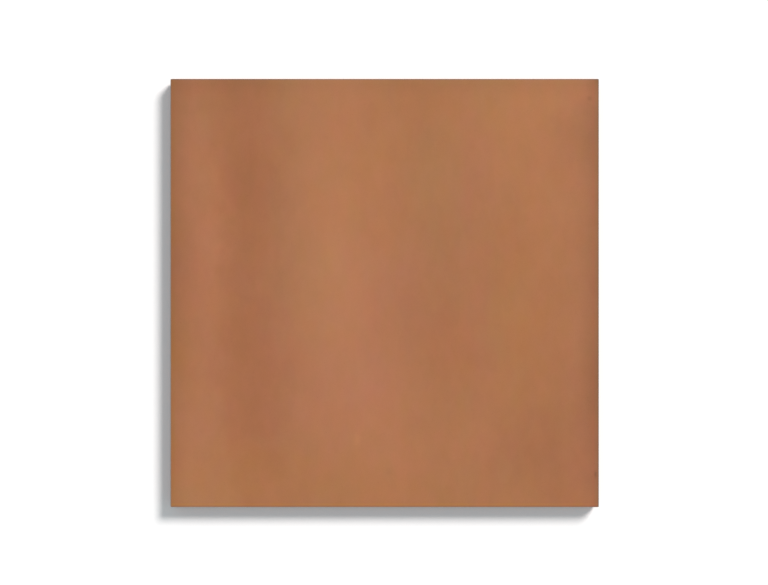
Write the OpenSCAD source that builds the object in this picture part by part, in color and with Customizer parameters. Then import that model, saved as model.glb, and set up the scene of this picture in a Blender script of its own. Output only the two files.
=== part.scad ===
// Square floor tile, dry-pressed and fired as one piece of clay.
// The origin is the middle of the bedding face. +Z points up, out of the wearing face,
// and the sides lie along X and Y. Every size is in millimetres.

/* [Tile] */
// Side of the square, measured across the lands where the tile is widest
side = 200; // [100:1:400]
// Thickness, from the bedding face to the wearing face
thickness = 9; // [7:0.5:16]
// Radius of the four upright corners
corner_r = 0.5; // [0.3:0.1:3]

/* [Edge] */
// Width of the eased margin that runs round the wearing face
margin_w = 2.6; // [1.5:0.1:4]
// Radius of the margin's arc, which is level where it leaves the wearing face
margin_r = 14; // [4.5:0.5:15]
// Width of the arris, the small flat between the margin and the upright land
arris_w = 0.6; // [0.2:0.1:1]
// Height of the drafted foot, below the land
foot_h = 3.2; // [1:0.1:4]
// How far the foot has drawn in where it meets the bedding face
foot_inset = 0.8; // [0.2:0.1:1.5]

/* [Keyed back] */
// Width of the plain rim round the keyed field, at the bedding face
rim_w = 7; // [3:0.5:15]
// Spacing wanted between the ribs, from middle to middle
rib_spacing = 23; // [15:1:40]
// Width of a rib at the bedding face
rib_w = 2.4; // [1:0.1:5]
// Depth of the cells between the ribs
key_depth = 0.6; // [0.3:0.1:1.5]
// How far a cell's wall slopes in over the cell's depth, so that the die lets go
key_draft = 0.3; // [0.1:0.1:0.8]

/* [Hidden] */
$fn = 96;

half_side = side / 2;
half_foot = half_side - foot_inset;

// Centre of the margin's arc, and the height at which the arc would run out at the land
margin_x = half_side - margin_w;
margin_z = thickness - margin_r;
brow_z = margin_z + sqrt(margin_r * margin_r - margin_w * margin_w);

// The arris lies square to the line that halves the corner at the brow.
brow_slope = asin(margin_w / margin_r); // how steeply the margin falls there
half_corner = (90 + brow_slope) / 2;
arris_depth = arris_w / 2 / tan(half_corner);

// The keyed field has an even number of cells each way, so that two ribs cross at its middle.
// Its cells are all alike: the rim's inner edge stands where one more rib's edge would.
half_field = half_foot - rim_w;
cells_each_side = max(1, round(half_field / rib_spacing));
rib_pitch = (half_field + rib_w / 2) / cells_each_side;

past_face = 1; // how far a cutting shape runs past the face that it cuts

// Half of the upright section, on the +X side: foot, land, arris and eased margin.
module half_section() {
    difference() {
        polygon([
            [0, 0],
            [half_foot, 0],
            [half_side, foot_h],
            [half_side, thickness],
            [0, thickness]
        ]);
        margin_cutter();
        arris_cutter();
    }
}

// What the margin takes off the upper corner: all that lies outside its disc.
module margin_cutter() {
    translate([margin_x, margin_z])
        difference() {
            square(margin_r + past_face);
            circle(r = margin_r);
        }
}

// What the arris takes off the brow: all that lies outside its flat.
module arris_cutter() {
    translate([half_side, brow_z])
        rotate(-half_corner)
            translate([-arris_w, -arris_depth])
                square([2 * arris_w, arris_depth + past_face]);
}

// A bar along Y with the whole section.
module section_bar() {
    rotate([90, 0, 0])
        linear_extrude(height = side + 2 * past_face, center = true)
            union() {
                half_section();
                mirror([1, 0])
                    half_section();
            }
}

// The outline seen from above, with rounded corners.
module outline() {
    corner_at = half_side - corner_r;
    square([side, 2 * corner_at], center = true);
    square([2 * corner_at, side], center = true);
    for (x = [-corner_at, corner_at], y = [-corner_at, corner_at])
        translate([x, y])
            circle(r = corner_r);
}

// A bar along Y with sloping walls, given half its width at the bedding face and at a cell's floor.
module drafted_bar(half_at_face, half_at_floor) {
    slope = (half_at_floor - half_at_face) / key_depth;
    half_past_face = half_at_face - slope * past_face;
    rotate([90, 0, 0])
        linear_extrude(height = side, center = true)
            polygon([
                [-half_past_face, -past_face],
                [half_past_face, -past_face],
                [half_at_floor, key_depth],
                [-half_at_floor, key_depth]
            ]);
}

// Ribs along Y, one on each inner line of the grid of cells.
module ribs() {
    for (i = [1 - cells_each_side : cells_each_side - 1])
        translate([i * rib_pitch, 0, 0])
            drafted_bar(rib_w / 2, rib_w / 2 + key_draft);
}

// The shallow cells: one square recess, less the ribs that cross it both ways.
module keying_cells() {
    difference() {
        intersection() {
            drafted_bar(half_field, half_field - key_draft);
            rotate([0, 0, 90])
                drafted_bar(half_field, half_field - key_draft);
        }
        ribs();
        rotate([0, 0, 90])
            ribs();
    }
}

module tile() {
    color([0.68, 0.45, 0.32])
        difference() {
            intersection() {
                section_bar();
                rotate([0, 0, 90])
                    section_bar();
                linear_extrude(height = thickness)
                    outline();
            }
            keying_cells();
        }
}

tile();
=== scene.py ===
import math

import bpy
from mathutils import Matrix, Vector


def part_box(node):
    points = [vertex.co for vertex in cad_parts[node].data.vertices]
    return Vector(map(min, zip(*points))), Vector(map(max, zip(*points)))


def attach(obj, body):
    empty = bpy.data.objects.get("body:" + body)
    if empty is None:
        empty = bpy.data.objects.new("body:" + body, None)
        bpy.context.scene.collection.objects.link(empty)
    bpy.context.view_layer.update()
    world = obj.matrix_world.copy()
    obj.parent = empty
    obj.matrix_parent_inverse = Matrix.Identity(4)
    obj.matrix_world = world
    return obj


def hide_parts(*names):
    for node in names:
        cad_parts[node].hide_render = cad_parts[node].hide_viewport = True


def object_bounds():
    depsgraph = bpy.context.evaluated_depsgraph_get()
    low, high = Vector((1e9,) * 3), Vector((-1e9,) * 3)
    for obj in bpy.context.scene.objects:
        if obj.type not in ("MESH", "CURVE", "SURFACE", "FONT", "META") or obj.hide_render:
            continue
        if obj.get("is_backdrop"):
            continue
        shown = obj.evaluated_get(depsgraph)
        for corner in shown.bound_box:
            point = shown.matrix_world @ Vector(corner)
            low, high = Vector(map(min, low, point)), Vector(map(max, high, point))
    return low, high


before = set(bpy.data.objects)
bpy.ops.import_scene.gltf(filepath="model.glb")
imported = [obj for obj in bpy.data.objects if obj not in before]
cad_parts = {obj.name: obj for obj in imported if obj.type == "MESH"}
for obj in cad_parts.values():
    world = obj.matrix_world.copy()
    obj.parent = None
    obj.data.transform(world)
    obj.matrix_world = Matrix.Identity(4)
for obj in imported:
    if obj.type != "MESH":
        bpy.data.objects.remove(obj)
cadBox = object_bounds()
millimetre = 0.001
tileLow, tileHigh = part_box("tile")
side = tileHigh.x - tileLow.x
thickness = tileHigh.z - tileLow.z
print("frame loaded, tile %.1f mm square and %.1f mm thick" % (side / millimetre, thickness / millimetre))


# small helpers, for Geometry Nodes and for materials alike

def feed(tree, socket, value):
    if isinstance(value, bpy.types.NodeSocket):
        tree.links.new(value, socket)
    else:
        socket.default_value = value


def calculator(tree):
    # calc("ADD", a, b) puts a Math node in the tree and gives back its output
    def calc(operation, *values):
        node = tree.nodes.new("ShaderNodeMath")
        node.operation = operation
        for socket, value in zip(node.inputs, values):
            feed(tree, socket, value)
        return node.outputs[0]
    return calc


def split(tree, vector):
    node = tree.nodes.new("ShaderNodeSeparateXYZ")
    feed(tree, node.inputs[0], vector)
    return node.outputs[0], node.outputs[1], node.outputs[2]


def join(tree, x, y, z):
    node = tree.nodes.new("ShaderNodeCombineXYZ")
    for socket, value in zip(node.inputs, (x, y, z)):
        feed(tree, socket, value)
    return node.outputs[0]


def newGroup(name, kind, inputs, outputs):
    # a node group: inputs are (name, default), where three numbers make a vector; outputs are floats
    tree = bpy.data.node_groups.new(name, kind)
    for label, value in inputs:
        socketType = "NodeSocketVector" if isinstance(value, tuple) else "NodeSocketFloat"
        socket = tree.interface.new_socket(label, in_out="INPUT", socket_type=socketType)
        socket.default_value = value
    for label in outputs:
        tree.interface.new_socket(label, in_out="OUTPUT", socket_type="NodeSocketFloat")
    return tree, tree.nodes.new("NodeGroupInput"), tree.nodes.new("NodeGroupOutput")


def useGroup(tree, group, kind, values):
    # puts a group in a tree and sets its inputs by name
    node = tree.nodes.new(kind)
    node.node_tree = group
    for label, value in values.items():
        feed(tree, node.inputs[label], value)
    return node.outputs


# the tile itself: one closed block of lines, pressed into shape by rule

pressing = {
    "marginWidth": 2.6 * millimetre,
    "marginRadius": 14 * millimetre,
    "arrisRadius": 0.5 * millimetre,
    "cornerRadius": 0.5 * millimetre,
    "footHeight": 3.2 * millimetre,
    "footInset": 0.8 * millimetre,
    "footRadius": 0.25 * millimetre,
    "rimWidth": 7 * millimetre,
    "ribWidth": 2.4 * millimetre,
    "keyDepth": 0.6 * millimetre,
    "keyDraft": 0.3 * millimetre,
    "waveDepth": 0.12 * millimetre,  # the most that the face can dip, where press and kiln left it uneven
    "waveSize": 48 * millimetre,
    "waveSeed": 7,
    "waveFade": 12 * millimetre,  # how far in from the margin the dips reach their full depth
    "waveEase": 0.2,  # how gently they get there
    "bendGuard": 0.3 * millimetre,  # how close the lines stand to each bend of the sides
    "arrisGuard": 0.1 * millimetre,  # and how close under the arris
}

blockLines = {  # how many lines the block has, from the middle outwards, and then up the side
    "cellsFromMiddle": 4,
    "halfCell": 8,
    "rim": 3,
    "margin": 6,
    "arris": 4,
    "up": 8,
}
halfLine = 0.5  # lines are whole numbers, so each test between two of them falls half a line off
cellWall = {  # the lines from the middle of a rib to the middle of a cell
    "stands": [-0.8, -0.3, 0.15, 0.85, 1.3, 2.1],  # those by the wall, in drafts out from the rib's edge
    "depths": [0.0, 0.0, 0.04, 0.22, 0.78, 0.96, 1.0, 1.0, 1.0],  # all of them, as shares of the cell's
}
fieldLines = blockLines["cellsFromMiddle"] * blockLines["halfCell"] * 2
marginStart = blockLines["rim"]
marginEnd = marginStart + blockLines["margin"]
edgeLines = marginEnd + blockLines["arris"]
halfLines = fieldLines + edgeLines


def pick(tree, index, values):
    # Index Switch: one value for each whole number
    node = tree.nodes.new("GeometryNodeIndexSwitch")
    node.data_type = "FLOAT"
    while len(node.index_switch_items) < len(values):
        node.index_switch_items.new()
    whole = tree.nodes.new("FunctionNodeFloatToInt")
    whole.rounding_mode = "ROUND"
    feed(tree, whole.inputs[0], index)
    tree.links.new(whole.outputs[0], node.inputs[0])
    for number, value in enumerate(values):
        feed(tree, node.inputs[number + 1], value)
    return node.outputs[0]


def choose(tree, isTrue, whenFalse, whenTrue):
    node = tree.nodes.new("GeometryNodeSwitch")
    node.input_type = "FLOAT"
    feed(tree, node.inputs[0], isTrue)
    feed(tree, node.inputs[1], whenFalse)
    feed(tree, node.inputs[2], whenTrue)
    return node.outputs[0]


def makeLineGroup():
    # For one line of the block, counted from the middle: where it lies, how far the face has fallen
    # there, and how deep a keying cell is there as a share of its depth.
    inputs = [
        ("Line", 0.0), ("Side", side), ("Margin Width", 0.0), ("Margin Radius", 1.0),
        ("Arris Radius", 0.0), ("Field", 0.0), ("Rib Width", 0.0), ("Key Draft", 0.0),
    ]
    tree, given, result = newGroup("tile line", "GeometryNodeTree", inputs, ["Place", "Fall", "Cell"])
    calc = calculator(tree)
    size = {socket.name: socket for socket in given.outputs if socket.name}
    line = calc("ABSOLUTE", size["Line"])

    # inside the keyed field: ribs a pitch apart, the lines crowding in where a rib's wall is
    cell = blockLines["halfCell"] * 2
    pitch = calc("DIVIDE", size["Field"], blockLines["cellsFromMiddle"])
    whole = calc("FLOOR", calc("DIVIDE", line, cell))
    past = calc("SUBTRACT", line, calc("MULTIPLY", whole, cell))
    fromMiddle = calc("ABSOLUTE", calc("SUBTRACT", past, blockLines["halfCell"]))
    step = calc("SUBTRACT", blockLines["halfCell"], fromMiddle)
    ribHalf = calc("MULTIPLY", size["Rib Width"], 0.5)
    middle = calc("MULTIPLY", pitch, 0.5)
    offsets = [0.0]
    for drafts in cellWall["stands"]:
        offsets.append(calc("MULTIPLY_ADD", size["Key Draft"], drafts, ribHalf))
    offsets.append(calc("MULTIPLY", middle, 0.5))
    offsets.append(middle)
    offset = pick(tree, step, offsets)
    depth = pick(tree, step, cellWall["depths"])
    farHalf = calc("GREATER_THAN", past, blockLines["halfCell"] + halfLine)
    offset = choose(tree, farHalf, offset, calc("SUBTRACT", pitch, offset))
    fieldPlace = calc("MULTIPLY_ADD", whole, pitch, offset)

    # outside it: the plain rim, then round the margin's arc, then round the arris
    half = calc("MULTIPLY", size["Side"], 0.5)
    marginX = calc("SUBTRACT", half, size["Margin Width"])
    arrisX = calc("SUBTRACT", half, size["Arris Radius"])
    innerRadius = calc("SUBTRACT", size["Margin Radius"], size["Arris Radius"])
    meet = calc("ARCSINE", calc("DIVIDE", calc("SUBTRACT", arrisX, marginX), innerRadius))
    over = calc("SUBTRACT", line, fieldLines)
    rimShare = calc("DIVIDE", over, marginStart)
    rimPlace = calc("MULTIPLY_ADD", rimShare, calc("SUBTRACT", marginX, size["Field"]), size["Field"])
    marginShare = calc("DIVIDE", calc("SUBTRACT", over, marginStart), blockLines["margin"])
    marginTurn = calc("MULTIPLY", meet, marginShare)
    marginPlace = calc("MULTIPLY_ADD", calc("SINE", marginTurn), size["Margin Radius"], marginX)
    marginFall = calc("MULTIPLY", size["Margin Radius"], calc("SUBTRACT", 1.0, calc("COSINE", marginTurn)))
    arrisShare = calc("DIVIDE", calc("SUBTRACT", over, marginEnd), blockLines["arris"])
    arrisTurn = calc("MULTIPLY_ADD", arrisShare, calc("SUBTRACT", math.pi / 2, meet), meet)
    arrisPlace = calc("MULTIPLY_ADD", calc("SINE", arrisTurn), size["Arris Radius"], arrisX)
    centreRise = calc("MULTIPLY", innerRadius, calc("COSINE", meet))
    centreFall = calc("SUBTRACT", size["Margin Radius"], centreRise)
    arrisRise = calc("MULTIPLY", size["Arris Radius"], calc("COSINE", arrisTurn))
    arrisFall = calc("SUBTRACT", centreFall, arrisRise)

    inRim = calc("GREATER_THAN", over, halfLine)
    inMargin = calc("GREATER_THAN", over, marginStart + halfLine)
    inArris = calc("GREATER_THAN", over, marginEnd + halfLine)
    place = choose(tree, inRim, fieldPlace, rimPlace)
    place = choose(tree, inMargin, place, marginPlace)
    place = choose(tree, inArris, place, arrisPlace)
    fall = choose(tree, inMargin, 0.0, marginFall)
    fall = choose(tree, inArris, fall, arrisFall)
    feed(tree, result.inputs["Place"], place)
    feed(tree, result.inputs["Fall"], fall)
    feed(tree, result.inputs["Cell"], choose(tree, inRim, depth, 0.0))
    return tree


def makePressTree(finish):
    tree = bpy.data.node_groups.new("pressed tile", "GeometryNodeTree")
    tree.interface.new_socket("Geometry", in_out="OUTPUT", socket_type="NodeSocketGeometry")
    defaults = [
        ("Side", side), ("Thickness", thickness),
        ("Margin Width", pressing["marginWidth"]), ("Margin Radius", pressing["marginRadius"]),
        ("Arris Radius", pressing["arrisRadius"]), ("Corner Radius", pressing["cornerRadius"]),
        ("Foot Height", pressing["footHeight"]), ("Foot Inset", pressing["footInset"]),
        ("Foot Radius", pressing["footRadius"]), ("Rim Width", pressing["rimWidth"]),
        ("Rib Width", pressing["ribWidth"]), ("Key Depth", pressing["keyDepth"]),
        ("Key Draft", pressing["keyDraft"]), ("Wave Depth", pressing["waveDepth"]),
        ("Wave Size", pressing["waveSize"]), ("Wave Seed", pressing["waveSeed"]),
    ]
    for label, value in defaults:
        socket = tree.interface.new_socket(label, in_out="INPUT", socket_type="NodeSocketFloat")
        socket.default_value = value
    given = tree.nodes.new("NodeGroupInput")
    size = {socket.name: socket for socket in given.outputs if socket.name}
    calc = calculator(tree)

    # the block, whose corners stand at whole numbers: lines across by lines along by lines up
    block = tree.nodes.new("GeometryNodeMeshCube")
    block.inputs["Size"].default_value = (2 * halfLines, 2 * halfLines, blockLines["up"])
    block.inputs["Vertices X"].default_value = 2 * halfLines + 1
    block.inputs["Vertices Y"].default_value = 2 * halfLines + 1
    block.inputs["Vertices Z"].default_value = blockLines["up"] + 1
    lineX, lineY, lineZ = split(tree, tree.nodes.new("GeometryNodeInputPosition").outputs[0])
    up = calc("ADD", lineZ, blockLines["up"] / 2)
    onFace = calc("GREATER_THAN", up, blockLines["up"] - halfLine)
    onBack = calc("LESS_THAN", up, halfLine)

    # the same rule places the lines across and the lines along
    half = calc("MULTIPLY", size["Side"], 0.5)
    field = calc("SUBTRACT", calc("SUBTRACT", half, size["Foot Inset"]), size["Rim Width"])
    field = calc("MULTIPLY_ADD", size["Rib Width"], 0.5, field)
    lineGroup = makeLineGroup()
    places, falls, cells = [], [], []
    for line in (lineX, lineY):
        values = {"Line": line, "Field": field}
        for label in ("Side", "Margin Width", "Margin Radius", "Arris Radius", "Rib Width", "Key Draft"):
            values[label] = size[label]
        outputs = useGroup(tree, lineGroup, "GeometryNodeGroup", values)
        places.append(outputs["Place"])
        falls.append(outputs["Fall"])
        cells.append(outputs["Cell"])

    # heights of the lines up the side: round the foot, up its draft, up the land
    innerRadius = calc("SUBTRACT", size["Margin Radius"], size["Arris Radius"])
    arrisReach = calc("SUBTRACT", size["Margin Width"], size["Arris Radius"])
    rise = calc("SQRT", calc("SUBTRACT", calc("POWER", innerRadius, 2.0), calc("POWER", arrisReach, 2.0)))
    landTop = calc("ADD", calc("SUBTRACT", size["Thickness"], size["Margin Radius"]), rise)
    guard = pressing["bendGuard"]
    middleZ = calc("MULTIPLY", calc("ADD", size["Foot Height"], landTop), 0.5)
    heights = [
        size["Foot Radius"],
        calc("ADD", size["Foot Radius"], guard),
        calc("SUBTRACT", size["Foot Height"], guard),
        size["Foot Height"],
        calc("ADD", size["Foot Height"], guard),
        middleZ,
        calc("SUBTRACT", landTop, guard),
        calc("SUBTRACT", landTop, pressing["arrisGuard"]),
        landTop,
    ]
    sideZ = pick(tree, up, heights)
    drawnIn = calc("SUBTRACT", 1.0, calc("DIVIDE", sideZ, size["Foot Height"]))
    inset = calc("MULTIPLY", size["Foot Inset"], calc("MAXIMUM", drawnIn, 0.0))

    # the rim shrinks by the foot's inset, and the corners are rounded off
    nearNought = 1e-9  # never divide by less than this
    rim = calc("SUBTRACT", half, field)
    shrink = calc("SUBTRACT", 1.0, calc("DIVIDE", inset, rim))
    drawn = []
    for place in places:
        beyond = calc("MAXIMUM", calc("SUBTRACT", place, field), 0.0)
        drawn.append(calc("MULTIPLY_ADD", beyond, shrink, calc("MINIMUM", place, field)))
    cornerAt = calc("SUBTRACT", calc("SUBTRACT", half, inset), size["Corner Radius"])
    outX = calc("SUBTRACT", drawn[0], cornerAt)
    outY = calc("SUBTRACT", drawn[1], cornerAt)
    inCorner = calc("GREATER_THAN", calc("MINIMUM", outX, outY), 0.0)
    reach = calc("SQRT", calc("ADD", calc("POWER", outX, 2.0), calc("POWER", outY, 2.0)))
    pull = calc("DIVIDE", calc("MAXIMUM", outX, outY), calc("MAXIMUM", reach, nearNought))
    placed = []
    for line, place, out in ((lineX, drawn[0], outX), (lineY, drawn[1], outY)):
        rounded = calc("MULTIPLY_ADD", out, pull, cornerAt)
        placed.append(calc("MULTIPLY", choose(tree, inCorner, place, rounded), calc("SIGN", line)))

    # the face: level, a little uneven, and falling away round the margin
    flat = join(tree, placed[0], placed[1], size["Wave Seed"])
    wave = tree.nodes.new("ShaderNodeTexNoise")
    feed(tree, wave.inputs["Vector"], flat)
    feed(tree, wave.inputs["Scale"], calc("DIVIDE", 1.0, size["Wave Size"]))
    wave.inputs["Detail"].default_value = 1.0
    outermost = calc("MAXIMUM", places[0], places[1])
    inland = calc("SUBTRACT", calc("SUBTRACT", half, size["Margin Width"]), outermost)
    inland = calc("MINIMUM", calc("MAXIMUM", calc("DIVIDE", inland, pressing["waveFade"]), 0.0), 1.0)
    inland = calc("MAXIMUM", calc("SMOOTH_MIN", inland, 1.0, pressing["waveEase"]), 0.0)
    dip = calc("MULTIPLY", calc("MULTIPLY", wave.outputs[0], size["Wave Depth"]), inland)
    faceZ = calc("SUBTRACT", size["Thickness"], calc("MAXIMUM", falls[0], falls[1]))
    faceZ = calc("SUBTRACT", faceZ, dip)

    # the back: ribs and rim in one plane, cells between them, the outer edge rounded up
    outer = calc("SUBTRACT", calc("SUBTRACT", half, inset), calc("MAXIMUM", drawn[0], drawn[1]))
    roundShare = calc("SUBTRACT", 1.0, calc("DIVIDE", outer, size["Foot Radius"]))
    roundShare = calc("MINIMUM", calc("MAXIMUM", roundShare, 0.0), 1.0)
    lift = calc("SUBTRACT", 1.0, calc("SQRT", calc("SUBTRACT", 1.0, calc("POWER", roundShare, 2.0))))
    backZ = calc("MULTIPLY", size["Key Depth"], calc("MINIMUM", cells[0], cells[1]))
    backZ = calc("MULTIPLY_ADD", lift, size["Foot Radius"], backZ)

    height = choose(tree, onFace, choose(tree, onBack, sideZ, backZ), faceZ)
    press = tree.nodes.new("GeometryNodeSetPosition")
    tree.links.new(block.outputs["Mesh"], press.inputs["Geometry"])
    tree.links.new(join(tree, placed[0], placed[1], height), press.inputs["Position"])
    smooth = tree.nodes.new("GeometryNodeSetShadeSmooth")
    tree.links.new(press.outputs[0], smooth.inputs["Geometry"])
    real = tree.nodes.new("GeometryNodeRealizeInstances")
    tree.links.new(smooth.outputs[0], real.inputs[0])
    coat = tree.nodes.new("GeometryNodeSetMaterial")
    coat.inputs["Material"].default_value = finish
    tree.links.new(real.outputs[0], coat.inputs["Geometry"])
    result = tree.nodes.new("NodeGroupOutput")
    tree.links.new(coat.outputs[0], result.inputs[0])
    return tree


def settle(name, tree):
    # runs the tree once and keeps what it makes as a plain mesh
    holder = bpy.data.objects.new(name + "Maker", bpy.data.meshes.new(name + "Maker"))
    bpy.context.scene.collection.objects.link(holder)
    modifier = holder.modifiers.new("press", "NODES")
    modifier.node_group = tree
    for socket in tree.interface.items_tree:
        if socket.in_out == "INPUT":
            modifier[socket.identifier] = socket.default_value
    evaluated = holder.evaluated_get(bpy.context.evaluated_depsgraph_get())
    mesh = bpy.data.meshes.new_from_object(evaluated)
    mesh.name = name
    bpy.data.objects.remove(holder)
    piece = bpy.data.objects.new(name, mesh)
    bpy.context.scene.collection.objects.link(piece)
    return piece


# helpers for the finish

def vectorCalculator(tree):
    # the same as calculator, with Vector Math nodes
    def calc(operation, *values):
        node = tree.nodes.new("ShaderNodeVectorMath")
        node.operation = operation
        for socket, value in zip(node.inputs, values):
            feed(tree, socket, value)
        return node.outputs["Value"] if operation == "DOT_PRODUCT" else node.outputs["Vector"]
    return calc


def fade(tree, value, start, end):
    # 0 before start, 1 past end, and a smooth slope between them
    node = tree.nodes.new("ShaderNodeMapRange")
    node.interpolation_type = "SMOOTHSTEP"
    for label, number in (("Value", value), ("From Min", start), ("From Max", end)):
        feed(tree, node.inputs[label], number)
    return node.outputs["Result"]


noiseMiddle = 0.5  # what a noise node gives on average
noiseReach = 0.25  # how far it mostly strays from that

patternsApart = {  # how far each pattern is moved over the noise, in millimetres, so that none is a repeat
    "tile": (317.0, 523.0, 71.0),  # all of them, and then each by its own
    "slide": (80.0, 0.0, 0.0),
    "light": (0.0, 0.0, 0.0),
    "ruddy": (0.0, 90.0, 0.0),
    "pink": (90.0, 0.0, 0.0),
    "mottle": (40.0, 40.0, 0.0),
    "pores": (40.0, 0.0, 0.0),
    "flecks": 40.0,  # in spacings
}


def lumps(tree, place, size, swing, detail=1.0):
    # soft noise that swings about nought, its lumps about size millimetres across
    node = tree.nodes.new("ShaderNodeTexNoise")
    feed(tree, node.inputs["Vector"], place)
    node.inputs["Scale"].default_value = 1 / size
    node.inputs["Detail"].default_value = detail
    gain = swing / noiseReach
    return calculator(tree)("MULTIPLY_ADD", node.outputs[0], gain, -gain * noiseMiddle)


speckSizes = {  # as shares of the given radius
    "smallest": 0.5,
    "spread": 0.9,  # how much more the largest has
    "core": 0.5,  # how much of a speck is whole before its edge fades
}


def specks(tree, place, spacing, share, radius):
    # ragged specks of mixed sizes, a spacing apart, shown in only a share of the places for one
    calc = calculator(tree)
    vector = vectorCalculator(tree)
    ragged = tree.nodes.new("ShaderNodeTexNoise")
    feed(tree, ragged.inputs["Vector"], place)
    ragged.inputs["Scale"].default_value = 1 / radius
    ragged.inputs["Detail"].default_value = 0.0
    place = vector("MULTIPLY_ADD", ragged.outputs["Color"], (radius, radius, radius), place)
    node = tree.nodes.new("ShaderNodeTexVoronoi")
    feed(tree, node.inputs["Vector"], place)
    node.inputs["Scale"].default_value = 1 / spacing
    drawn, sizing = split(tree, node.outputs["Color"])[:2]
    spread = speckSizes["spread"] * radius / spacing
    reach = calc("MULTIPLY_ADD", sizing, spread, speckSizes["smallest"] * radius / spacing)
    spot = fade(tree, calc("DIVIDE", node.outputs["Distance"], reach), 1.0, speckSizes["core"])
    return calc("MULTIPLY", calc("LESS_THAN", drawn, share), spot)


def blend(tree, share, under, over):
    # one colour over another, by the Mix node's colour sockets; a plain colour is given as three numbers
    node = tree.nodes.new("ShaderNodeMix")
    node.data_type = "RGBA"
    feed(tree, node.inputs[0], share)
    for socket, colour in ((node.inputs[6], under), (node.inputs[7], over)):
        feed(tree, socket, (*colour, 1.0) if isinstance(colour, tuple) else colour)
    return node.outputs[2]


def between(tree, share, under, over):
    # the same for plain numbers
    calc = calculator(tree)
    return calc("MULTIPLY_ADD", share, calc("SUBTRACT", over, under), under)


def softPatches(tree, place, patches):
    # the sum of soft round-edged patches, each at its centre with its reach each way
    group = bpy.data.node_groups["soft patch"]
    total = 0.0
    for across, along, reachAcross, reachAlong, strength in patches:
        values = {
            "Place": place, "Centre": (across, along, 0), "Reach": (reachAcross, reachAlong, 1),
            "Strength": strength, "Total": total,
        }
        total = useGroup(tree, group, "ShaderNodeGroup", values)["Total"]
    return total


def makePatchGroup():
    inputs = [
        ("Place", (0, 0, 0)), ("Centre", (0, 0, 0)), ("Reach", (1, 1, 1)),
        ("Strength", 0.0), ("Total", 0.0),
    ]
    tree, given, result = newGroup("soft patch", "ShaderNodeTree", inputs, ["Total"])
    calc = calculator(tree)
    vector = vectorCalculator(tree)
    size = {socket.name: socket for socket in given.outputs if socket.name}
    away = vector("DIVIDE", vector("SUBTRACT", size["Place"], size["Centre"]), size["Reach"])
    bell = calc("POWER", math.exp(-1), vector("DOT_PRODUCT", away, away))
    feed(tree, result.inputs["Total"], calc("MULTIPLY_ADD", bell, size["Strength"], size["Total"]))


# The face as it came out of the kiln, plus painted shade and highlight on its margin and arris. It is
# painted in three layers: how light the glaze is, how ruddy (or, below nought, how green) and how pink
# (or how ochre). Each layer has soft streaks, which run along Y, and soft patches. Places and reaches are
# shares of the tile's side, across from -X to +X and then along from -Y to +Y.
face = {
    "colour": (0.39, 0.155, 0.066),
    "ruddyTint": (0.035, -0.03, -0.01),
    "pinkTint": (0.01, -0.01, 0.11),
    "wander": [(26.0, 0.012), (6.0, 0.006)],  # how far the streaks and patches stray: size, strength
    "lean": 0.04,  # how far the streaks slant across the tile
    "stretch": (1.0, 0.55, 1.0),  # the grain is longer along the streaks
    "roughness": 0.68,
    "roughPatches": (7.0, 0.05, 3.0),  # millimetres across, strength, detail
    "strongestStreak": 2.0,  # how far from nought a streak may go
    "ripple": (14.0, 0.012),  # the slow swell of the glaze: millimetres across, and height
    "peel": [(3.6, 0.005), (0.9, 0.0022), (0.3, 0.001)],  # its fine orange peel, in the same terms
}
streaks = {  # each a line drawn through (share across, strength)
    "light": [
        (0.0, 0.99), (0.05, 1.0), (0.09, 1.01), (0.13, 0.94), (0.175, 0.885),
        (0.22, 0.905), (0.27, 0.975), (0.33, 1.055), (0.4, 1.09), (0.47, 1.065),
        (0.56, 1.01), (0.66, 1.0), (0.8, 1.022), (0.93, 1.0), (1.0, 1.0),
    ],
    "ruddy": [
        (0.0, 0.0), (0.07, 0.0), (0.12, 0.5), (0.17, 0.85), (0.22, 0.65), (0.26, -0.2),
        (0.3, -0.4), (0.4, -0.35), (0.5, 0.0), (0.6, -0.2), (0.68, -0.25), (0.72, 0.1),
        (0.77, -0.15), (0.84, 0.15), (0.9, 0.1), (1.0, 0.2),
    ],
    "pink": [
        (0.0, -0.1), (0.08, 0.4), (0.14, -0.15), (0.22, 0.0), (0.3, 0.2), (0.4, 0.15),
        (0.56, 0.0), (0.66, -0.15), (0.72, 0.2), (0.78, -0.5), (0.85, -0.5), (0.92, -0.3),
        (0.96, 0.1), (1.0, -0.1),
    ],
}
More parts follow.
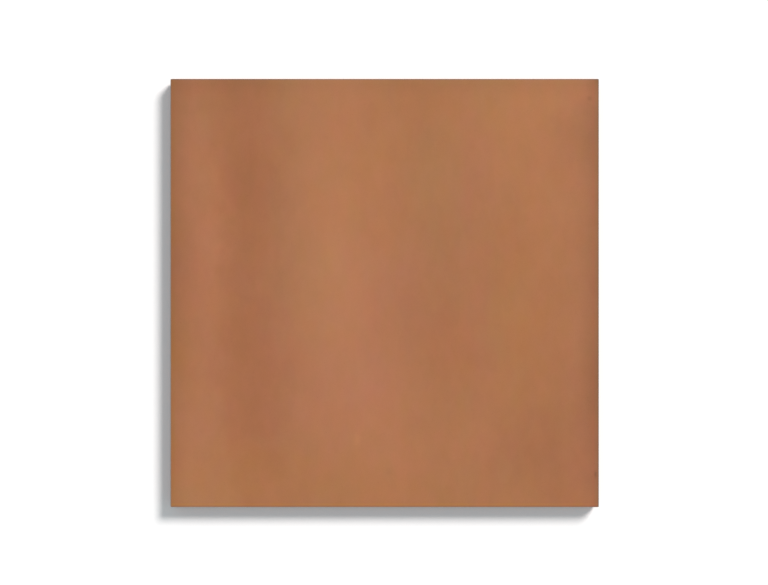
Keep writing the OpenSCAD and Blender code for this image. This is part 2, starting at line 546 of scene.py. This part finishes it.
patches = {  # across, along, reach across, reach along, strength
    "light": [
        (0.02, 0.12, 0.06, 0.16, 0.1), (0.20, 0.03, 0.09, 0.10, 0.10), (0.40, 0.03, 0.10, 0.11, -0.075),
        (0.85, 0.12, 0.11, 0.12, -0.12), (0.96, 0.28, 0.06, 0.12, -0.05), (0.90, 0.97, 0.14, 0.11, 0.12),
        (0.77, 0.86, 0.12, 0.10, 0.035), (0.96, 0.88, 0.04, 0.05, -0.045), (0.08, 0.97, 0.10, 0.07, -0.04),
        (0.48, 0.92, 0.05, 0.08, -0.02), (0.20, 0.76, 0.10, 0.07, -0.04), (0.39, 0.56, 0.07, 0.18, 0.06),
        (0.64, 0.47, 0.08, 0.20, -0.045), (0.60, 0.75, 0.07, 0.06, 0.03), (0.02, 0.56, 0.04, 0.10, -0.06),
        (0.09, 0.66, 0.035, 0.14, 0.03), (0.90, 0.70, 0.08, 0.11, 0.055), (0.52, 0.20, 0.07, 0.14, 0.045),
        (0.68, 0.14, 0.09, 0.08, 0.03), (0.17, 0.34, 0.06, 0.10, -0.02), (0.74, 0.36, 0.05, 0.07, -0.015),
        (0.11, 0.57, 0.02, 0.05, 0.06), (0.20, 0.51, 0.06, 0.03, 0.035), (0.73, 0.17, 0.05, 0.05, 0.04),
        (0.50, 0.80, 0.04, 0.12, 0.025), (0.67, 0.98, 0.05, 0.03, 0.035), (0.94, 0.35, 0.025, 0.12, 0.035),
        (0.21, 0.15, 0.04, 0.03, 0.03), (0.02, 0.02, 0.03, 0.03, 0.05), (0.12, 0.97, 0.03, 0.04, 0.03),
        (0.36, 0.93, 0.08, 0.10, -0.03), (0.95, 0.88, 0.05, 0.06, -0.05), (0.80, 0.65, 0.05, 0.07, -0.035),
        (0.11, 0.30, 0.025, 0.06, -0.035), (0.20, 0.41, 0.04, 0.04, -0.02), (0.70, 0.33, 0.03, 0.05, -0.03),
        (0.61, 0.32, 0.03, 0.03, -0.025), (0.13, 0.09, 0.04, 0.04, -0.03), (0.88, 0.02, 0.06, 0.03, -0.03),
        (0.985, 0.30, 0.02, 0.14, -0.03), (0.07, 0.94, 0.02, 0.05, -0.025), (0.25, 0.72, 0.03, 0.04, -0.03),
        (0.72, 0.75, 0.03, 0.03, -0.025), (0.44, 0.15, 0.03, 0.03, 0.03), (0.90, 0.90, 0.02, 0.045, -0.08),
        (0.98, 0.92, 0.02, 0.035, -0.045), (0.98, 0.03, 0.025, 0.045, 0.06),
    ],
    "ruddy": [
        (0.62, 0.76, 0.07, 0.12, -0.8), (0.65, 0.38, 0.07, 0.09, 1.0), (0.28, 0.33, 0.06, 0.14, 0.6),
        (0.12, 0.04, 0.08, 0.06, -0.8), (0.86, 0.15, 0.08, 0.07, 0.6), (0.80, 0.96, 0.15, 0.05, -0.5),
        (0.28, 0.97, 0.04, 0.05, -0.9), (0.04, 0.54, 0.04, 0.09, 0.6), (0.05, 0.03, 0.035, 0.04, -1.0),
        (0.34, 0.55, 0.08, 0.08, -0.7), (0.17, 0.74, 0.05, 0.14, 0.4), (0.61, 0.97, 0.06, 0.05, 0.6),
        (0.97, 0.10, 0.04, 0.12, 0.5), (0.08, 0.93, 0.05, 0.05, -0.7), (0.36, 0.88, 0.04, 0.06, 0.4),
        (0.68, 0.99, 0.10, 0.03, -0.5), (0.61, 0.91, 0.03, 0.03, 0.5), (0.75, 0.82, 0.025, 0.12, 0.45),
        (0.88, 0.74, 0.06, 0.05, -0.45), (0.57, 0.65, 0.03, 0.03, 0.6), (0.79, 0.60, 0.025, 0.08, 0.5),
        (0.98, 0.63, 0.02, 0.05, -0.6), (0.63, 0.53, 0.04, 0.04, -0.4), (0.25, 0.53, 0.03, 0.04, -0.7),
        (0.47, 0.57, 0.03, 0.03, -0.4), (0.75, 0.40, 0.025, 0.04, -0.8), (0.43, 0.33, 0.02, 0.04, -0.5),
        (0.06, 0.42, 0.03, 0.04, 0.45), (0.95, 0.25, 0.03, 0.08, 0.6), (0.87, 0.25, 0.03, 0.03, -0.6),
        (0.64, 0.19, 0.05, 0.04, 0.4), (0.49, 0.10, 0.03, 0.07, -0.45), (0.34, 0.08, 0.05, 0.04, 0.6),
        (0.80, 0.05, 0.07, 0.05, -0.55), (0.13, 0.01, 0.08, 0.03, -0.6), (0.01, 0.11, 0.03, 0.06, 0.6),
        (0.29, 0.68, 0.02, 0.05, -0.45), (0.22, 0.16, 0.04, 0.02, -0.5), (0.10, 0.60, 0.03, 0.05, -0.4),
        (0.96, 0.01, 0.06, 0.035, 0.7), (0.05, 0.985, 0.06, 0.025, 0.8),
    ],
    "pink": [
        (0.45, 0.29, 0.08, 0.12, 1.2), (0.50, 0.52, 0.07, 0.09, 0.9), (0.31, 0.32, 0.09, 0.14, 0.5),
        (0.35, 0.04, 0.40, 0.05, -0.8), (0.19, 0.11, 0.13, 0.05, -0.7), (0.60, 0.92, 0.13, 0.07, -0.6),
        (0.46, 0.81, 0.09, 0.10, -0.6), (0.88, 0.15, 0.12, 0.07, 0.5), (0.72, 0.80, 0.04, 0.08, 0.3),
        (0.81, 0.44, 0.07, 0.12, -0.4), (0.01, 0.34, 0.04, 0.08, -0.8), (0.09, 0.62, 0.04, 0.14, 0.3),
        (0.18, 0.82, 0.06, 0.08, -0.4), (0.64, 0.31, 0.04, 0.05, -0.7), (0.01, 0.69, 0.025, 0.13, -0.7),
        (0.93, 0.34, 0.025, 0.08, 0.7), (0.31, 0.115, 0.07, 0.025, -0.55), (0.27, 0.22, 0.07, 0.03, 0.55),
        (0.07, 0.19, 0.04, 0.03, 0.5), (0.39, 0.48, 0.06, 0.05, 0.5), (0.25, 0.44, 0.04, 0.04, 0.35),
        (0.53, 0.52, 0.02, 0.06, 0.5), (0.75, 0.22, 0.025, 0.20, -0.4), (0.81, 0.28, 0.04, 0.05, -0.4),
        (0.49, 0.31, 0.03, 0.04, 0.5), (0.76, 0.83, 0.03, 0.04, 0.5), (0.76, 0.65, 0.03, 0.04, -0.5),
        (0.84, 0.65, 0.02, 0.04, 0.4), (0.01, 0.98, 0.03, 0.03, -0.8), (0.25, 0.97, 0.05, 0.04, -0.6),
        (0.85, 0.99, 0.03, 0.02, 0.8), (0.35, 0.92, 0.02, 0.03, 0.5), (0.41, 0.72, 0.03, 0.08, -0.35),
        (0.89, 0.53, 0.03, 0.03, -0.4), (0.19, 0.70, 0.03, 0.09, -0.35), (0.93, 0.79, 0.03, 0.03, -0.35),
        (0.70, 0.75, 0.02, 0.03, -0.4), (0.52, 0.80, 0.03, 0.02, -0.35), (0.985, 0.95, 0.025, 0.08, 1.0),
        (0.985, 0.25, 0.02, 0.15, -0.45), (0.41, 0.54, 0.03, 0.03, 0.4), (0.015, 0.38, 0.02, 0.05, -0.5),
        (0.57, 0.48, 0.02, 0.03, 0.45), (0.98, 0.005, 0.06, 0.012, 1.2),
    ],
}
grain = {  # soft lumps: millimetres across, and strength
    "light": [(24.0, 0.012), (9.0, 0.009), (3.2, 0.007), (0.8, 0.005), (0.22, 0.03)],
    "ruddy": [(17.0, 0.2), (6.0, 0.15), (2.5, 0.12)],
    "pink": [(15.0, 0.25), (5.0, 0.15), (2.5, 0.12)],
}
mottle = {  # level patches with soft edges, in the same terms
    "light": [(13.0, 0.008), (6.0, 0.008)],
    "ruddy": [(14.0, 0.14), (7.0, 0.15)],
    "pink": [(13.0, 0.12), (6.5, 0.14)],
}
mottleEdge = 0.25  # how soft their edges are, as a share of the noise's swing
ironSpots = [  # in the patches' terms; one of them is pale
    (0.978, 0.954, 0.006, 0.005, -0.15), (0.992, 0.077, 0.003, 0.007, -0.2),
    (0.436, 0.161, 0.008, 0.016, 0.10), (0.511, 0.082, 0.010, 0.010, -0.07),
    (0.074, 0.177, 0.007, 0.007, -0.03), (0.177, 0.487, 0.010, 0.009, -0.03),
    (0.569, 0.761, 0.008, 0.006, -0.03), (0.437, 0.778, 0.008, 0.005, -0.03),
]
rimBandsAndPaintedShading = {  # bands along each side: millimetres in from the edge to the band's middle, width, strength; in the light layer the narrow bands on the margin and arris are painted shade on the right and far sides, which face the lamp, and painted highlight on the left and near sides, which face away from it, while the broad bands make the face darker towards the left, right and far edges
    "light": {
        "left": [(0.0, 8.0, -0.15), (0.0, 1.6, 0.03), (0.1, 0.4, 0.33)],
        "right": [(0.0, 6.5, -0.17), (0.0, 1.6, -0.14), (0.1, 0.4, -0.14)],
        "far": [(0.0, 6.0, -0.085), (0.0, 1.6, -0.06), (0.1, 0.4, -0.15)],
        "near": [(1.4, 0.5, 0.10), (0.1, 0.4, 0.43)],
    },
    "ruddy": {
        "right": [(0.9, 0.9, -0.7), (2.6, 0.6, 1.4)],
        "far": [(1.8, 1.2, -0.5)],
    },
    "pink": {
        "left": [(1.4, 0.9, -0.8)],
        "far": [(1.8, 1.2, -0.4)],
        "near": [(1.4, 0.5, -1.5)],
    },
}
brow = {  # painted shade along the arris: a thin dull line over its rounded edge, fading out down the side
    "colour": (0.24, 0.172, 0.128),
    "start": 0.6,  # millimetres in from the edge, where it begins to show
    "end": 0.2,  # and from where it shows in full
    "strength": 0.75,
    "downTo": 7.6,  # the height at which it has faded out down the side
    "fadesFrom": 8.6,
}
flecks = {  # tiny flecks and pinholes in the glaze: spacing, share of places, radius, strength or depth
    "dark": (0.9, 0.5, 0.12, -0.2),
    "pale": (1.2, 0.5, 0.13, 0.13),
    "pinholes": (3.4, 0.5, 0.16, -0.06),
}


def makeStreaks(tree, across, points):
    # one smooth line through the points gives the strength at each share across
    curve = tree.nodes.new("ShaderNodeFloatCurve")
    curve.mapping.clip_min_y = -face["strongestStreak"]
    curve.mapping.clip_max_y = face["strongestStreak"]
    drawn = curve.mapping.curves[0].points
    drawn[0].location = points[0]
    drawn[1].location = points[-1]
    for share, strength in points[1:-1]:
        drawn.new(share, strength)
    curve.mapping.update()
    feed(tree, curve.inputs["Value"], across)
    return curve.outputs[0]


def makeLayer(tree, name, shares, drawn, edges):
    # one layer of the face: streaks, patches, grain, mottle, and the bands along its rims, which in the
    # light layer include painted shade and painted highlight
    calc = calculator(tree)
    vector = vectorCalculator(tree)
    across, along = split(tree, shares)[:2]
    leaning = calc("MULTIPLY_ADD", calc("SUBTRACT", along, 0.5), face["lean"], across)
    layer = calc("ADD", makeStreaks(tree, leaning, streaks[name]), softPatches(tree, shares, patches[name]))
    drawn = vector("ADD", drawn, patternsApart[name])
    for size, strength in grain[name]:
        layer = calc("ADD", layer, lumps(tree, drawn, size, strength))
    moved = vector("ADD", drawn, patternsApart["mottle"])
    for size, strength in mottle[name]:
        level = fade(tree, lumps(tree, moved, size, 1.0), -mottleEdge, mottleEdge)
        layer = calc("ADD", layer, calc("MULTIPLY_ADD", level, 2 * strength, -strength))
    # the rim bands; in the light layer the narrow ones on the margin and arris are painted shade on the
    # right and far sides and painted highlight on the left and near sides
    for sideName, bands in rimBandsAndPaintedShading[name].items():
        for middle, width, strength in bands:
            away = calc("DIVIDE", calc("SUBTRACT", edges[sideName], middle), width)
            bell = calc("POWER", math.exp(-1), calc("MULTIPLY", away, away))
            layer = calc("MULTIPLY_ADD", bell, strength, layer)
    return layer


def makeFace(tree, place, shares, height, edges, inFromEdge):
    # the glazed face: its colour, its roughness and its fine relief in millimetres
    calc = calculator(tree)
    vector = vectorCalculator(tree)

    # the streaks and patches wander, twice as far along as across, so that none is a true band or oval
    strayed = shares
    for size, swing in face["wander"]:
        drift = lumps(tree, place, size, swing)
        slide = lumps(tree, vector("ADD", place, patternsApart["slide"]), size, swing * 2)
        strayed = vector("ADD", strayed, join(tree, drift, slide, 0.0))
    drawn = vector("MULTIPLY", place, face["stretch"])
    light = makeLayer(tree, "light", strayed, drawn, edges)
    light = calc("ADD", light, softPatches(tree, shares, ironSpots))
    for name in ("dark", "pale"):
        spacing, share, radius, strength = flecks[name]
        moved = vector("ADD", place, (spacing * patternsApart["flecks"], 0.0, 0.0))
        light = calc("MULTIPLY_ADD", specks(tree, moved, spacing, share, radius), strength, light)
    ruddy = makeLayer(tree, "ruddy", strayed, drawn, edges)
    pink = makeLayer(tree, "pink", strayed, drawn, edges)

    tint = vector("MULTIPLY_ADD", join(tree, ruddy, ruddy, ruddy), face["ruddyTint"], (1.0, 1.0, 1.0))
    tint = vector("MULTIPLY_ADD", join(tree, pink, pink, pink), face["pinkTint"], tint)
    # painted shade: the dull line along the arris, in full at the edge and fading out down the side
    paintedArrisShade = calc("MULTIPLY", fade(tree, inFromEdge, brow["start"], brow["end"]),
                fade(tree, height, brow["downTo"], brow["fadesFrom"]))
    paintedArrisShade = calc("MULTIPLY", paintedArrisShade, brow["strength"])
    colour = blend(tree, paintedArrisShade, vector("MULTIPLY", tint, face["colour"]), brow["colour"])
    colour = vector("MULTIPLY", join(tree, light, light, light), colour)
    rough = calc("ADD", lumps(tree, place, *face["roughPatches"]), face["roughness"])
    relief = lumps(tree, drawn, *face["ripple"])
    for size, depth in face["peel"]:
        relief = calc("ADD", relief, lumps(tree, place, size, depth))
    spacing, share, radius, depth = flecks["pinholes"]
    relief = calc("MULTIPLY_ADD", specks(tree, place, spacing, share, radius), depth, relief)
    return colour, rough, relief


clay = {
    "colour": (0.43, 0.158, 0.076),
    "tones": [(20.0, 0.05), (4.0, 0.03), (0.6, 0.05)],  # millimetres across, and strength
    "dieStretch": (1.0, 1.0, 0.06),  # upright marks, where the die let the tile go
    "dieMarks": (0.9, 1.0, 2.0),  # millimetres across, strength, detail
    "dieShade": 0.05,
    "dieDepth": 0.006,  # depths and heights are in millimetres
    "grog": (1.5, 0.5, 0.35),  # specks: spacing, share of places, radius
    "grogColour": (0.58, 0.30, 0.17),
    "grogShows": 0.6,
    "pores": (1.9, 0.5, 0.22),
    "poreColour": (0.16, 0.07, 0.04),
    "poreShows": 0.7,
    "poreDepth": 0.06,
    "roughness": 0.88,
    "roughPatches": (2.0, 0.04, 2.0),
    "grit": (0.5, 0.008, 2.0),
    "glazeLine": 7.3,  # height to which the glaze runs down the sides
    "glazeSpread": 0.3,  # how far above and below that it thins out
    "glazeWander": (9.0, 0.35),  # how its line wanders: millimetres across, millimetres up or down
    "spray": (0.5, 0.5),  # and how ragged it is, in the same terms
}
shine = 0.3  # low all over, because fired clay is never polished


def makeClay(tree, place):
    # the bare clay of the sides
    calc = calculator(tree)
    vector = vectorCalculator(tree)
    tone = 1.0
    for size, swing in clay["tones"]:
        tone = calc("ADD", lumps(tree, place, size, swing), tone)
    marks = lumps(tree, vector("MULTIPLY", place, clay["dieStretch"]), *clay["dieMarks"])
    tone = calc("MULTIPLY_ADD", marks, clay["dieShade"], tone)
    colour = vector("MULTIPLY", join(tree, tone, tone, tone), clay["colour"])
    grog = calc("MULTIPLY", specks(tree, place, *clay["grog"]), clay["grogShows"])
    colour = blend(tree, grog, colour, clay["grogColour"])
    pores = specks(tree, vector("ADD", place, patternsApart["pores"]), *clay["pores"])
    colour = blend(tree, calc("MULTIPLY", pores, clay["poreShows"]), colour, clay["poreColour"])
    rough = calc("ADD", lumps(tree, place, *clay["roughPatches"]), clay["roughness"])
    relief = calc("MULTIPLY_ADD", marks, clay["dieDepth"], lumps(tree, place, *clay["grit"]))
    relief = calc("MULTIPLY_ADD", pores, -clay["poreDepth"], relief)
    return colour, rough, relief


back = {
    "colour": (0.40, 0.15, 0.074),
    "tones": [(26.0, 0.07, 1.0), (5.0, 0.04, 3.0), (0.7, 0.05, 1.0)],  # size, strength, detail
    "grog": (2.2, 0.4, 0.4),  # specks, in the same terms as the clay's
    "washColour": (0.60, 0.49, 0.38),
    "washPatches": [(17.0, 0.5, 3.0), (1.6, 0.25, 2.0)],
    "washWorn": (-0.55, 0.45),  # patches below the first are worn bare, and above the second are whole
    "washHeights": (0.14, 0.02),  # the wash is gone above the first, and whole below the second
    "washShows": 0.85,
    "washHeight": 0.02,  # how thick it is
    "dust": (0.1, 0.9),  # its dust, in the cells too: none in patches below the first, most above the second
    "dustShows": 0.18,
    "roughness": 0.92,
    "roughPatches": (3.0, 0.03, 2.0),
    "grit": [(1.7, 0.02, 1.0), (0.5, 0.008, 2.0)],
    "edge": 0.3,  # how far in from the foot's edge it is all back and no side
    "below": 2.0,  # the height that no part of it reaches
}


def makeBack(tree, place, height):
    # the keyed back: clay in the cells, and a worn pale kiln wash on the ribs and rim
    calc = calculator(tree)
    vector = vectorCalculator(tree)
    tone = 1.0
    for size, swing, detail in back["tones"]:
        tone = calc("ADD", tone, lumps(tree, place, size, swing, detail))
    colour = vector("MULTIPLY", join(tree, tone, tone, tone), back["colour"])
    grog = calc("MULTIPLY", specks(tree, place, *back["grog"]), clay["grogShows"])
    colour = blend(tree, grog, colour, clay["grogColour"])
    patchy = 0.0
    for size, swing, detail in back["washPatches"]:
        patchy = calc("ADD", patchy, lumps(tree, place, size, swing, detail))
    wash = calc("MULTIPLY", fade(tree, height, *back["washHeights"]), fade(tree, patchy, *back["washWorn"]))
    dust = calc("MULTIPLY", fade(tree, patchy, *back["dust"]), back["dustShows"])
    pale = calc("MAXIMUM", calc("MULTIPLY", wash, back["washShows"]), dust)
    colour = blend(tree, pale, colour, back["washColour"])
    rough = calc("ADD", lumps(tree, place, *back["roughPatches"]), back["roughness"])
    relief = calc("MULTIPLY", wash, back["washHeight"])
    for size, swing, detail in back["grit"]:
        relief = calc("ADD", relief, lumps(tree, place, size, swing, detail))
    return colour, rough, relief


def makeFinish(material):
    material.use_nodes = True
    tree = material.node_tree
    tree.nodes.clear()
    calc = calculator(tree)
    vector = vectorCalculator(tree)
    makePatchGroup()

    # x, y and z are millimetres from the middle of the bedding face, place is the same as the patterns
    # read it, and shares are of the side, from the -X, -Y corner
    metres = tree.nodes.new("ShaderNodeTexCoord").outputs["Object"]
    inMillimetres = (1 / millimetre,) * 3
    x, y, z = split(tree, vector("MULTIPLY", metres, inMillimetres))
    place = vector("MULTIPLY_ADD", metres, inMillimetres, patternsApart["tile"])
    shares = vector("MULTIPLY_ADD", metres, (1 / side, 1 / side, 0.0), (0.5, 0.5, 0.0))
    half = side / 2 / millimetre
    edges = {
        "left": calc("ADD", x, half), "right": calc("SUBTRACT", half, x),
        "near": calc("ADD", y, half), "far": calc("SUBTRACT", half, y),
    }
    inFromEdge = calc("MINIMUM", calc("MINIMUM", edges["left"], edges["right"]),
                      calc("MINIMUM", edges["near"], edges["far"]))

    faceColour, faceRough, faceHeight = makeFace(tree, place, shares, z, edges, inFromEdge)
    clayColour, clayRough, clayHeight = makeClay(tree, place)
    backColour, backRough, backHeight = makeBack(tree, place, z)

    # what shows where: the back lies inside the foot's edge, the glaze ends in spray down the sides
    inset = pressing["footInset"] / millimetre
    isBack = calc("MULTIPLY", fade(tree, inFromEdge, inset, inset + back["edge"]),
                  calc("LESS_THAN", z, back["below"]))
    spray = calc("ADD", lumps(tree, place, *clay["glazeWander"]), lumps(tree, place, *clay["spray"]))
    lowest = clay["glazeLine"] - clay["glazeSpread"]
    isGlazed = fade(tree, calc("ADD", z, spray), lowest, clay["glazeLine"] + clay["glazeSpread"])
    colour = blend(tree, isGlazed, blend(tree, isBack, clayColour, backColour), faceColour)
    rough = between(tree, isGlazed, between(tree, isBack, clayRough, backRough), faceRough)
    height = between(tree, isGlazed, between(tree, isBack, clayHeight, backHeight), faceHeight)

    relief = tree.nodes.new("ShaderNodeBump")
    relief.inputs["Distance"].default_value = millimetre
    feed(tree, relief.inputs["Height"], height)
    shader = tree.nodes.new("ShaderNodeBsdfPrincipled")
    feed(tree, shader.inputs["Base Color"], colour)
    feed(tree, shader.inputs["Roughness"], rough)
    feed(tree, shader.inputs["Normal"], relief.outputs[0])
    shader.inputs["Specular IOR Level"].default_value = shine
    out = tree.nodes.new("ShaderNodeOutputMaterial")
    tree.links.new(shader.outputs[0], out.inputs["Surface"])


finish = bpy.data.materials.new("firedTile")
makeFinish(finish)
print("finish mixed:", len(finish.node_tree.nodes), "nodes")
tile = settle("floorTile", makePressTree(finish))
print("tile pressed:", len(tile.data.polygons), "faces")

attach(tile, "root")
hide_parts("tile")


# floor, lamps, camera

studio = {
    "floorSize": 4.0,
    "floorBelow": 0.05 * millimetre,
    "floorBounce": 0.8,
    "floorWhite": 1.08,  # how light the open floor looks
    "floorGlow": (0.05, 0.101, 0.122),  # the part of it that no shadow takes away
    "openingInset": 0.3 * millimetre,  # how far inside the tile's foot the floor's opening stops
    "lampAcross": 0.794,  # how far the light travels to -X for each metre that it falls
    "lampAlong": 0.857,  # and to -Y
    "lampWidth": 20.5,  # degrees across, which sets how soft the shadow is
    "lampShare": 0.64,  # how much of all the light on a level surface the lamp gives
    "fillShare": 0.36,  # and how much the even fill from all round
}


def seenDirectly(tree):
    # 1 for what the camera sees, straight or in a reflection
    path = tree.nodes.new("ShaderNodeLightPath")
    calc = calculator(tree)
    seen = calc("MAXIMUM", path.outputs["Is Camera Ray"], path.outputs["Is Glossy Ray"])
    return calc("MAXIMUM", seen, path.outputs["Is Transmission Ray"])


def makeFloor():
    # a square ring: the opening under the tile lets light up to its back for views from below
    half = studio["floorSize"] / 2
    gap = side / 2 - pressing["footInset"] - studio["openingInset"]
    corners = [(-1, -1), (1, -1), (1, 1), (-1, 1)]
    points = [(x * reach, y * reach, -studio["floorBelow"]) for reach in (half, gap) for x, y in corners]
    faces = [(i, (i + 1) % 4, 4 + (i + 1) % 4, 4 + i) for i in range(4)]
    mesh = bpy.data.meshes.new("floor")
    mesh.from_pydata(points, [], faces)
    floor = bpy.data.objects.new("floor", mesh)
    bpy.context.scene.collection.objects.link(floor)

    material = bpy.data.materials.new("paleFloor")
    material.use_nodes = True
    tree = material.node_tree
    tree.nodes.clear()
    seen = seenDirectly(tree)
    shaded = tuple(studio["floorWhite"] - glow for glow in studio["floorGlow"])
    paint = tree.nodes.new("ShaderNodeBsdfDiffuse")
    feed(tree, paint.inputs["Color"], blend(tree, seen, (studio["floorBounce"],) * 3, shaded))
    glow = tree.nodes.new("ShaderNodeEmission")
    glow.inputs["Color"].default_value = (*studio["floorGlow"], 1.0)
    feed(tree, glow.inputs["Strength"], seen)
    both = tree.nodes.new("ShaderNodeAddShader")
    tree.links.new(paint.outputs[0], both.inputs[0])
    tree.links.new(glow.outputs[0], both.inputs[1])

    # from below the floor is clear, so that the tile's back can be seen
    clear = tree.nodes.new("ShaderNodeBsdfTransparent")
    mix = tree.nodes.new("ShaderNodeMixShader")
    byCamera = tree.nodes.new("ShaderNodeLightPath").outputs["Is Camera Ray"]
    backfacing = tree.nodes.new("ShaderNodeNewGeometry").outputs["Backfacing"]
    feed(tree, mix.inputs[0], calculator(tree)("MULTIPLY", byCamera, backfacing))
    tree.links.new(both.outputs[0], mix.inputs[1])
    tree.links.new(clear.outputs[0], mix.inputs[2])
    out = tree.nodes.new("ShaderNodeOutputMaterial")
    tree.links.new(mix.outputs[0], out.inputs["Surface"])
    mesh.materials.append(material)
    floor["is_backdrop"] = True


def makeLamp(name, travel):
    # a sun whose light travels that way and gives a level surface the lamp's share
    lamp = bpy.data.lights.new(name, "SUN")
    lamp.angle = math.radians(studio["lampWidth"])
    lamp.energy = studio["lampShare"] * math.pi * travel.length
    holder = bpy.data.objects.new(name, lamp)
    holder.rotation_euler = travel.to_track_quat("-Z", "Y").to_euler()
    holder.location = -travel
    bpy.context.scene.collection.objects.link(holder)


def makeFill():
    world = bpy.data.worlds.new("studio")
    world.use_nodes = True
    tree = world.node_tree
    tree.nodes.clear()
    # white where the camera sees it, and the fill's own strength on everything else
    seen = seenDirectly(tree)
    strength = calculator(tree)("MULTIPLY_ADD", seen, 1.0 - studio["fillShare"], studio["fillShare"])
    fill = tree.nodes.new("ShaderNodeBackground")
    fill.inputs["Color"].default_value = (1, 1, 1, 1)
    feed(tree, fill.inputs["Strength"], strength)
    out = tree.nodes.new("ShaderNodeOutputWorld")
    tree.links.new(fill.outputs[0], out.inputs["Surface"])
    bpy.context.scene.world = world


makeFloor()
makeLamp("lamp", Vector((-studio["lampAcross"], -studio["lampAlong"], -1.0)))
makeLamp("lampBelow", Vector((-studio["lampAcross"], -studio["lampAlong"], 1.0)))  # for the tile's back
makeFill()

cameraSetup = {
    "lens": 100.0,
    "sensor": 36.0,
    "frameShare": 0.558,  # the tile's side as a share of the view's width
    "across": -0.302 * millimetre,  # how far the camera stands off the tile's middle
    "along": 0.251 * millimetre,
    "nearest": 0.01,
}


def makeCamera():
    data = bpy.data.cameras.new("camera")
    data.lens = cameraSetup["lens"]
    data.sensor_width = cameraSetup["sensor"]
    data.clip_start = cameraSetup["nearest"]
    camera = bpy.data.objects.new("camera", data)
    away = side / cameraSetup["frameShare"] * cameraSetup["lens"] / cameraSetup["sensor"]
    camera.location = (cameraSetup["across"], cameraSetup["along"], thickness + away)
    bpy.context.scene.collection.objects.link(camera)
    bpy.context.scene.camera = camera


makeCamera()
bpy.context.scene.view_settings.view_transform = "Standard"
print("floor, lamps and camera in place")

[[list(corner) for corner in box] for box in (cadBox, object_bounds())]
